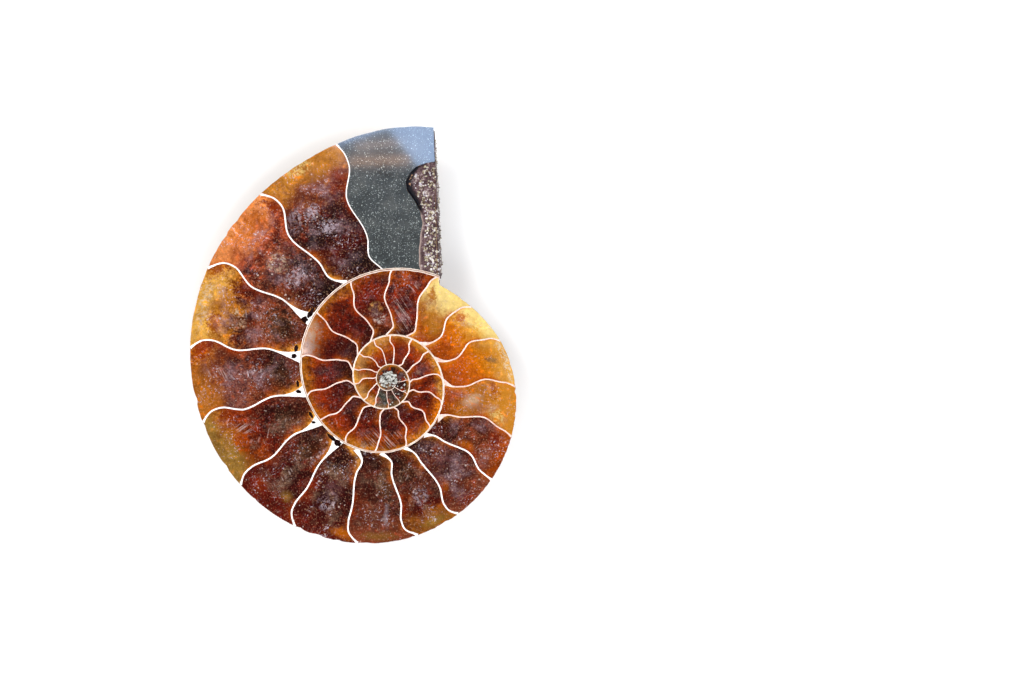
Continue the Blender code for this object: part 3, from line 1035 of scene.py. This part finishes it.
# Half its thickness in millimetres at turning angles, thinner on the older whorls.
WALL_TURNS = (340, 460, 600, 900, 1100, 1600)
WALL_HALVES = (0.21, 0.17, 0.14, 0.11, 0.07, 0.05)


def wall_place(u, v):
    """The wall's corner: across its thickness by u, along the spiral by v."""
    turn = WALL_START + (WALL_END - WALL_START) * v
    half = float(np.interp(turn, WALL_TURNS, WALL_HALVES))
    middle = outer_edge(turn)
    at = on_plane(turn, middle)
    beads = 0.3 * half * abs(noise.noise(at * 2.1)) * (1.6 if turn < 700 else 0.8)
    inner = half * (0.95 + 0.3 * noise.noise(at * 1.1 + Vector((9, 0, 0))))
    across = -inner + (inner + half * 0.95 + beads) * u
    return on_plane(turn, middle + across, 0.02 + 0.025 * (1 - (2 * u - 1) ** 2))


wall = bent_grid("spiral_wall", 8, WALL_ROWS, wall_place)
thicken(wall, LAYER)
pearly_wall, at = new_paint("pearly_wall")
own_map = at.node("ShaderNodeTexCoord", output="UV")
tone = at.clouds(0.9, 6.0, 0.65)
core = at.maths("ABSOLUTE", own_map.part("X") - 0.52 + (tone - 0.5) * 0.3).band(0.24, 0.1)
core = core * own_map.part("Y").band(0.3, 0.14, 0.3, 0.9) * at.clouds(0.5, 3.0).band(0.25, 0.5)
pale = tone.ramp((0.32, srgb(226, 184, 160)), (0.55, srgb(250, 234, 218)))
finish(
    pearly_wall,
    Base_Color=pale.washed(srgb(124, 74, 66), core),
    Roughness=0.2 + tone * 0.15,
    Coat_Weight=0.8,
    Coat_Roughness=0.05,
)
lay_down(wall, pearly_wall)

# ----------------------------------------
# The mud that washed into the open last chamber and turned to grey-green stone, dense with
# pale specks, ground flat and polished with the rest. Towards the mouth it ends at a strip
# of coarse crystal crust, or above that at the break itself.

# The border with the crust, as heights up the mouth, each with its turning angle.
CRUST_EDGE = (
    (0.0, -6.2), (0.05, -4.4), (0.12, -3.0), (0.21, -2.4), (0.33, -1.9), (0.41, -0.4), (0.49, 2.4),
    (0.55, 4.6), (0.61, 5.2), (0.67, 4.3), (0.72, 2.8), (0.745, 0.9),
)
# The specks: how close, how large and how rare they are, and how far the pattern is moved.
SPECKS = (
    (1.7, 0.2, 0.46, 0.0), (3.3, 0.27, 0.46, 7.0), (0.9, 0.12, 0.44, 3.0), (5.2, 0.34, 0.5, 11.0)
)
edge_heights, edge_turns = zip(*CRUST_EDGE)
mouth_turns = np.linspace(foot_turn, -0.02, 60)
mouth_heights = []
for turn in mouth_turns:
    low, high = spiral(turn + 360.0), spiral(turn)
    mouth_heights.append((mouth_ray(turn) - low) / (high - low))


def mouth_turn(height):
    """Turning angle of the straight break at a height across the last whorl."""
    return float(np.interp(height, mouth_heights, mouth_turns))


def crust_turn(height):
    """Turning angle where the mud stops and the crystal crust or the break begins."""
    if height > edge_heights[-1]:
        share = past(height, edge_heights[-1], 0.02)
        return edge_turns[-1] * (1 - share) + (mouth_turn(height) + 0.05) * share
    jag = 0.35 * noise.noise(Vector((height * 14.0, 0, 0)))
    return float(np.interp(height, edge_heights, edge_turns)) + jag


mud = filling("hardened_mud", 0, crust_turn, partial(septum_turn, 0))
polished_mud, at = new_paint("polished_mud")
grain = at.clouds(4.5, 3.0, 0.7)
colour = (at.clouds(0.35, 5.0, 0.6) * 0.7 + grain * 0.3).ramp(
    (0.3, srgb(48, 51, 51)), (0.5, srgb(68, 72, 73)), (0.7, srgb(92, 94, 93))
)
for scale, size, rare, shift in SPECKS:
    moved = at.shifted((shift, shift, 0.0))
    pick = moved.clouds(scale * 0.6, 2.0, 0.5).band(rare, rare + 0.1)
    speck = moved.cells(scale).band(size, size * 0.4) * pick * 0.8
    colour = colour.washed(srgb(206, 216, 214), speck)
finish(
    polished_mud,
    Base_Color=colour,
    Roughness=0.12 + grain * 0.15,
    Coat_Weight=1.0,
    Coat_Roughness=0.038,
    Specular_IOR_Level=0.25,
)
lay_down(mud, polished_mud)

# ----------------------------------------
# The mouth: a strip of crystal crust sunk into the cut face, with a hollow along the mud darkened
# by painted shade, a pale seam along the mud lower down, and the rough broken end of the shell below
# it.
CRUST_COLUMNS = 30
CRUST_ROWS = 150
CRUST_TOP = 0.75
CRUST_SINK = 0.28
HOLLOW_DEPTH = 0.24


def rough(point, coarse=0.16, small=0.07):
    """Height of the broken crust over its mean surface at a point."""
    bumps = coarse * noise.fractal(point * 0.9, 1.0, 2.0, 4)
    return bumps + small * noise.noise(point * 4.0)


def crust_place(u, v):
    """The crust on the cut face: u from the mud out to the break, v up the mouth."""
    height = v * CRUST_TOP
    left, right = crust_turn(height), mouth_turn(height)
    turn = left + (right - left) * u
    low, high = spiral(turn + 360.0), spiral(turn)
    point = on_plane(turn, low + (high - low) * height)
    hollow = HOLLOW_DEPTH * past(height, 0.4, 0.06) * math.exp(-(((u - 0.08) / 0.08) ** 2))
    sunk = CRUST_SINK * min(u / 0.12, 1.0) + hollow * min(u / 0.03, 1.0)
    return Vector((point.x, point.y, rough(point) * min(u / 0.1, 1.0) - sunk))


def break_place(u, v):
    """The broken end below it: u down from the face to the back, v up the mouth."""
    share = 0.01 + 0.965 * v
    x = MOUTH_FOOT[0] + (MOUTH_TOP[0] - MOUTH_FOOT[0]) * share
    y = MOUTH_FOOT[1] + (MOUTH_TOP[1] - MOUTH_FOOT[1]) * share
    turn = turn_at(x, y)
    depth = max(back_depth(min(math.hypot(x, y), spiral(turn) - 0.05), turn)[0] - 0.12, 0.3)
    point = Vector((x, y, -0.3 - (depth - 0.3) * u))
    pinned = max(min(u / 0.06, (1 - u) / 0.06, v / 0.04, (1 - v) / 0.03, 1.0), 0.0)
    calm = 1.0 - 0.8 * past(v, 0.68, 0.1)
    out = max(rough(point, 0.26, 0.12) + 0.08, -0.02) * calm
    return point + Vector((out * pinned + 0.03, 0.0, 0.0))


crust = bent_grid("mouth_crust", CRUST_COLUMNS, CRUST_ROWS, crust_place)
verge = crust.data.attributes.new("verge", "FLOAT_VECTOR", "POINT")
for index, corner in enumerate(verge.data):
    row, column = divmod(index, CRUST_COLUMNS + 1)
    u, height = column / CRUST_COLUMNS, row / CRUST_ROWS * CRUST_TOP
    # Painted shade: the first value darkens the hollow along the mud; the second is the pale seam
    # below it.
    dark = math.exp(-(((u - 0.08) / 0.13) ** 2)) * past(height, 0.38, 0.06)
    pale = math.exp(-((u / 0.07) ** 2)) * past(0.42 - height, 0.0, 0.05)
    corner.vector = (dark, pale, 0.0)
thicken(crust, 0.7)
broken_end = bent_grid("broken_end", 60, 130, break_place, (1.0, 0.0, 0.0))
apply_modifier(broken_end, "SOLIDIFY", thickness=0.5, offset=-1.0)
mend_normals(broken_end)

crystal_crust, at = new_paint("crystal_crust")
grain = at.clouds(3.0, 4.0, 0.7)
verge = at.carried("verge")
colour = (at.clouds(0.6, 7.0, 0.7) * 0.55 + grain * 0.45).ramp(
    (0.36, srgb(26, 16, 20)),
    (0.47, srgb(70, 48, 52)),
    (0.56, srgb(122, 96, 100)),
    (0.64, srgb(226, 214, 210)),
)
# Painted shade: near-black blue laid over the crust in the hollow along the mud.
colour = colour.washed(srgb(12, 10, 24), verge.part("X") * (1.0 + grain * 0.6))
colour = colour.washed(srgb(206, 180, 170), verge.part("Y") * (0.5 + grain * 0.8))
finish(
    crystal_crust,
    Base_Color=colour,
    Roughness=0.4 + grain * 0.35,
    Normal=grain.bumped(0.6),
    Specular_IOR_Level=0.2,
)
lay_down(crust, crystal_crust, 60.0)
lay_down(broken_end, crystal_crust, 60.0)

# Loose-standing crystals on the crust: small pointed calcite grains, each a six-sided
# stub with a tip, modelled once and set at random angles over the strip and the break.
CRUST_CRYSTALS = 300
BREAK_CRYSTALS = 520
OUT_OF_FACE = Vector((0, 0, 1))
OUT_OF_MOUTH = Vector((1, 0, 0))
picker = random.Random(11)
bpy.ops.object.select_all(action="DESELECT")
bpy.ops.mesh.primitive_cone_add(vertices=6, radius1=0.5, radius2=0.38, depth=0.9)
stub = bpy.context.object
bpy.ops.object.mode_set(mode="EDIT")
bpy.ops.mesh.select_mode(type="FACE")
bpy.ops.mesh.select_all(action="DESELECT")
bpy.ops.object.mode_set(mode="OBJECT")
for face in stub.data.polygons:
    face.select = face.normal.z > 0.9
bpy.ops.object.mode_set(mode="EDIT")
bpy.ops.mesh.extrude_region_move(TRANSFORM_OT_translate={"value": (0, 0, 0.35)})
bpy.ops.transform.resize(value=(0.12, 0.12, 1.0), center_override=(0, 0, 0.8))
bpy.ops.object.mode_set(mode="OBJECT")
crystal_mesh = stub.data
bpy.data.objects.remove(stub, do_unlink=True)


def set_grains(name, mesh, count, spot, sizes):
    """Copies of one small mesh at random spots of a surface, joined as one piece."""
    grains = []
    for _ in range(count):
        where, facing = spot(picker.random(), picker.random())
        size = picker.uniform(*sizes)
        tumble = Matrix.Rotation(picker.uniform(0, math.tau), 4, "Z")
        tip = Matrix.Rotation(picker.uniform(-0.9, 0.9), 4, "X")
        twist = Matrix.Rotation(picker.uniform(0, math.tau), 4, "Z")
        scaled = Matrix.Diagonal((size, size, size * picker.uniform(0.7, 1.3), 1.0))
        upright = facing.to_track_quat("Z", "Y").to_matrix().to_4x4()
        grain = bpy.data.objects.new("grain", mesh.copy())
        bpy.context.scene.collection.objects.link(grain)
        grain.data.transform(Matrix.Translation(where) @ upright @ tumble @ tip @ twist @ scaled)
        grains.append(grain)
    return joined(grains, name)


def crust_spot(a, b):
    """A spot on the crust of the cut face, facing out of it."""
    return crust_place(0.25 + 0.73 * a, 0.02 + 0.94 * b) - 0.05 * OUT_OF_FACE, OUT_OF_FACE


def break_spot(a, b):
    """A spot on the broken end, facing out of the mouth."""
    return break_place(0.05 + 0.9 * a, 0.03 + 0.92 * b) - 0.12 * OUT_OF_MOUTH, OUT_OF_MOUTH


pale_crystal, at = new_paint("pale_crystal")
tone = at.clouds(1.3, 3.0, 0.6)
colour = tone.ramp(
    (0.36, srgb(60, 40, 40)),
    (0.44, srgb(128, 102, 84)),
    (0.5, srgb(206, 194, 158)),
    (0.56, srgb(255, 250, 246)),
    (0.62, srgb(214, 204, 218)),
)
finish(pale_crystal, Base_Color=colour, Roughness=0.08 + tone * 0.2, Coat_Weight=1.0)
grains = set_grains("crust_crystals", crystal_mesh, CRUST_CRYSTALS, crust_spot, (0.16, 0.55))
lay_down(grains, pale_crystal, 10.0)
grains = set_grains("broken_end_crystals", crystal_mesh, BREAK_CRYSTALS, break_spot, (0.16, 0.45))
lay_down(grains, pale_crystal, 10.0)

# ----------------------------------------
# The heart of the coil: the first chambers are filled with silvery pyrite, a tight knot of
# little bright cubes, and a few more cubes glint in the dark cells beside it.
HEART = Vector((-0.15, 0.15, 0.0))
HEART_RADIUS = 1.42
HEART_CUBES = 90
CELL_CUBES = 16
bpy.ops.object.select_all(action="DESELECT")
bpy.ops.mesh.primitive_cube_add(size=1.0)
cube = bpy.context.object
apply_modifier(cube, "BEVEL", width=0.09, segments=1)
cube_mesh = cube.data
bpy.data.objects.remove(cube, do_unlink=True)


def heart_spot(a, b):
    """A spot in the knot of cubes at the coil axis."""
    radius = HEART_RADIUS * math.sqrt(a)
    angle = math.tau * b
    off = Vector((radius * math.cos(angle), radius * math.sin(angle), 0.05 + 0.1 * (1 - a)))
    return HEART + off, OUT_OF_FACE


def cell_spot(a, b):
    """A spot in the dark cells between the coil axis and the second mud cell."""
    return chamber_point(912 + 110 * a, 0.15 + 0.7 * b), OUT_OF_FACE


silver_pyrite, at = new_paint("silver_pyrite")
tone = at.clouds(2.5, 4.0, 0.6)
colour = tone.ramp(
    (0.3, srgb(120, 116, 104)), (0.55, srgb(205, 205, 200)), (0.7, srgb(245, 245, 245))
)
shine = tone.band(0.6, 0.3)
finish(silver_pyrite, Base_Color=colour, Roughness=0.22 + tone * 0.25, Metallic=shine)
cubes = set_grains("pyrite_heart", cube_mesh, HEART_CUBES, heart_spot, (0.14, 0.4))
lay_down(cubes, silver_pyrite, 10.0)
cubes = set_grains("pyrite_glints", cube_mesh, CELL_CUBES, cell_spot, (0.1, 0.26))
lay_down(cubes, silver_pyrite, 10.0)

# ----------------------------------------
# The size of these looks: the box round every piece that is shown, the table left out.
low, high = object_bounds()
